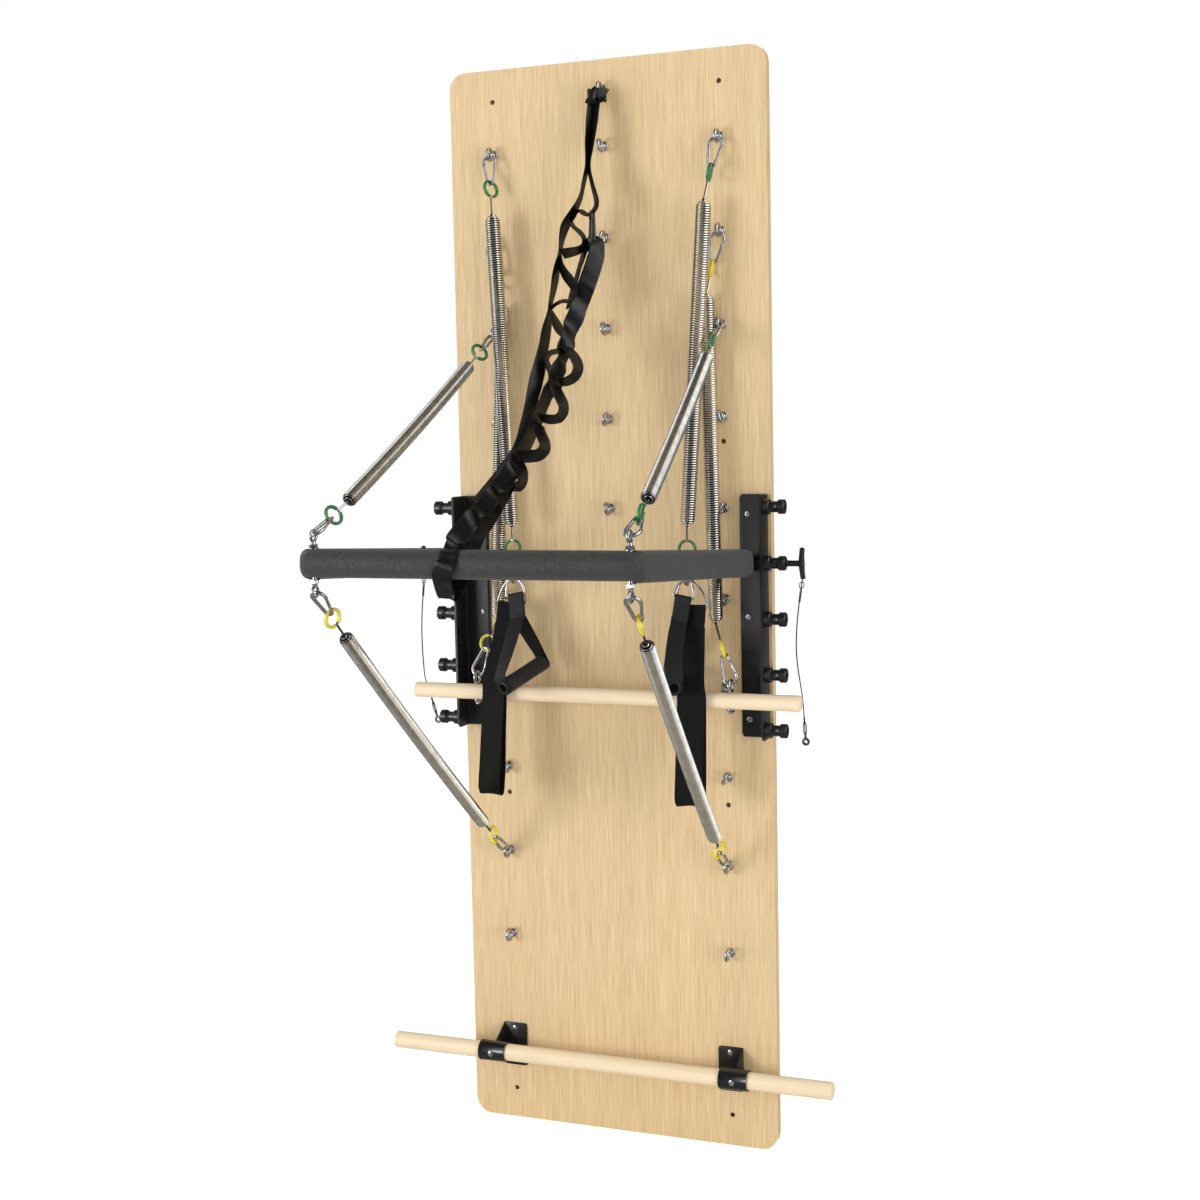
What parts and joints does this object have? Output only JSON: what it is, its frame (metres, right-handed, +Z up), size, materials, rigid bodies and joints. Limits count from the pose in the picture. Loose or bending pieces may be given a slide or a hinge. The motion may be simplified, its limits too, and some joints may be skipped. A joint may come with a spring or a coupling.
{
  "type": "pilates springboard",
  "caption": "Wall-mounted exercise board with a sprung push-through bar, hanging spring handles with foot loops, a roll-down bar, a foot bar and a safety strap.",
  "frame": {"origin": "centre of the panel's back face, which lies against the wall", "axes": "+Z up the wall, +Y into the wall, -Y out of the front towards the user, +X to the right seen from the front"},
  "size_m": [0.878, 0.6659, 2],
  "materials": {
    "oak_panel": "satin laminate, vertical grain",
    "pale_wood": "satin turned wood",
    "black_steel": "satin black powder coat",
    "zinc_steel": "bright zinc plate",
    "spring_steel": "drawn wire with a light oil",
    "grey_foam": "matte closed-cell foam",
    "grip_foam": "matte foam",
    "black_webbing": "woven webbing",
    "black_plastic": "satin moulded",
    "steel_cable": "coated wire rope"
  },
  "bodies": {
    "wall_panel": {"board_panel": "oak_panel", "eyebolt_strap": "zinc_steel", "foot_bar": "pale_wood", "safety_strap": "black_webbing", "strap_carabiner": "black_steel", "eyebolt_handle_spring_left": "zinc_steel", "eyebolt_roll_down_left": "zinc_steel", "eyebolt_bar_spring_upper_left": "zinc_steel", "eyebolt_bar_spring_lower_left": "zinc_steel", "side_bracket_left": "black_steel", "foot_bar_bracket_left": "black_steel", "bar_spring_upper_left": "spring_steel", "bar_spring_lower_left": "spring_steel", "bar_carabiner_upper_wall_left": "zinc_steel", "bar_carabiner_lower_wall_left": "zinc_steel", "roll_down_spring_left": "spring_steel", "roll_down_carabiner_top_left": "zinc_steel", "eyebolt_handle_spring_right": "zinc_steel", "eyebolt_roll_down_right": "zinc_steel", "eyebolt_bar_spring_upper_right": "zinc_steel", "eyebolt_bar_spring_lower_right": "zinc_steel", "side_bracket_right": "black_steel", "foot_bar_bracket_right": "black_steel", "bar_spring_upper_right": "spring_steel", "bar_spring_lower_right": "spring_steel", "bar_carabiner_upper_wall_right": "zinc_steel", "bar_carabiner_lower_wall_right": "zinc_steel", "roll_down_spring_right": "spring_steel", "roll_down_carabiner_top_right": "zinc_steel"},
    "push_bar": {"push_bar_tube": "black_steel", "push_bar_pad": "grey_foam", "bar_eye_bolt_left": "zinc_steel", "bar_carabiner_upper_bar_left": "zinc_steel", "bar_carabiner_lower_bar_left": "zinc_steel", "bar_eye_bolt_right": "zinc_steel", "bar_carabiner_upper_bar_right": "zinc_steel", "bar_carabiner_lower_bar_right": "zinc_steel"},
    "roll_down": {"roll_down_bar": "pale_wood", "roll_down_eye_left": "zinc_steel", "roll_down_carabiner_low_left": "zinc_steel", "roll_down_eye_right": "zinc_steel", "roll_down_carabiner_low_right": "zinc_steel"},
    "lock_pin_left": {"lock_pin_left": "black_plastic", "lanyard_left": "steel_cable", "lanyard_ring_left": "zinc_steel"},
    "handle_spring_left": {"handle_carabiner_top_left": "zinc_steel", "handle_spring_left": "spring_steel", "handle_carabiner_low_left": "zinc_steel", "foot_loop_left": "black_webbing"},
    "handle_left": {"handle_strap_left": "black_webbing"},
    "grip_left": {"handle_grip_left": "grip_foam"},
    "lock_pin_right": {"lock_pin_right": "black_plastic", "lanyard_right": "steel_cable", "lanyard_ring_right": "zinc_steel"},
    "handle_spring_right": {"handle_carabiner_top_right": "zinc_steel", "handle_spring_right": "spring_steel", "handle_carabiner_low_right": "zinc_steel", "foot_loop_right": "black_webbing"},
    "handle_right": {"handle_strap_right": "black_webbing"},
    "grip_right": {"handle_grip_right": "grip_foam"}
  },
  "joints": [
    {"name": "push_bar_swing", "type": "hinge", "parent": "wall_panel", "child": "push_bar", "pos_m": [0, -0.054, 0.0915], "axis": [-1, 0, 0], "range_deg": [-12, 60], "stiffness_Nm_per_rad": 90, "springref_deg": 5.16, "deforming": ["bar_spring_upper_left", "bar_spring_upper_right", "bar_spring_lower_left", "bar_spring_lower_right", "safety_strap"]},
    {"name": "lock_pin_left_pull", "type": "slide", "parent": "wall_panel", "child": "lock_pin_left", "axis": [-1, 0, 0], "range_m": [0, 0.045]},
    {"name": "handle_spring_left_swing", "type": "hinge", "parent": "wall_panel", "child": "handle_spring_left", "pos_m": [-0.2205, -0.037, 0.8445], "axis": [-1, 0, 0], "range_deg": [0, 26]},
    {"name": "handle_left_tilt", "type": "hinge", "parent": "handle_spring_left", "child": "handle_left", "pos_m": [-0.1695, -0.0897, 0.0608], "axis": [-1, 0, 0], "range_deg": [0, 40]},
    {"name": "grip_left_spin", "type": "hinge", "parent": "handle_left", "child": "grip_left", "pos_m": [-0.1385, -0.12, -0.113], "axis": [0.3394, 0.8807, 0.3303], "continuous": true},
    {"name": "lock_pin_right_pull", "type": "slide", "parent": "wall_panel", "child": "lock_pin_right", "axis": [1, 0, 0], "range_m": [0, 0.045]},
    {"name": "handle_spring_right_swing", "type": "hinge", "parent": "wall_panel", "child": "handle_spring_right", "pos_m": [0.2205, -0.037, 0.8445], "axis": [-1, 0, 0], "range_deg": [0, 26]},
    {"name": "handle_right_tilt", "type": "hinge", "parent": "handle_spring_right", "child": "handle_right", "pos_m": [0.1695, -0.0897, 0.0608], "axis": [-1, 0, 0], "range_deg": [0, 40]},
    {"name": "grip_right_spin", "type": "hinge", "parent": "handle_right", "child": "grip_right", "pos_m": [0.1486, -0.1125, -0.11325], "axis": [-0.3599, 0.9192, 0.1597], "continuous": true},
    {"name": "roll_down_pull", "type": "slide", "parent": "wall_panel", "child": "roll_down", "axis": [0, 0, -1], "range_m": [0, 0.22], "stiffness_N_per_m": 150, "springref_m": -0.035, "deforming": ["roll_down_spring_left", "roll_down_spring_right"]}
  ]
}
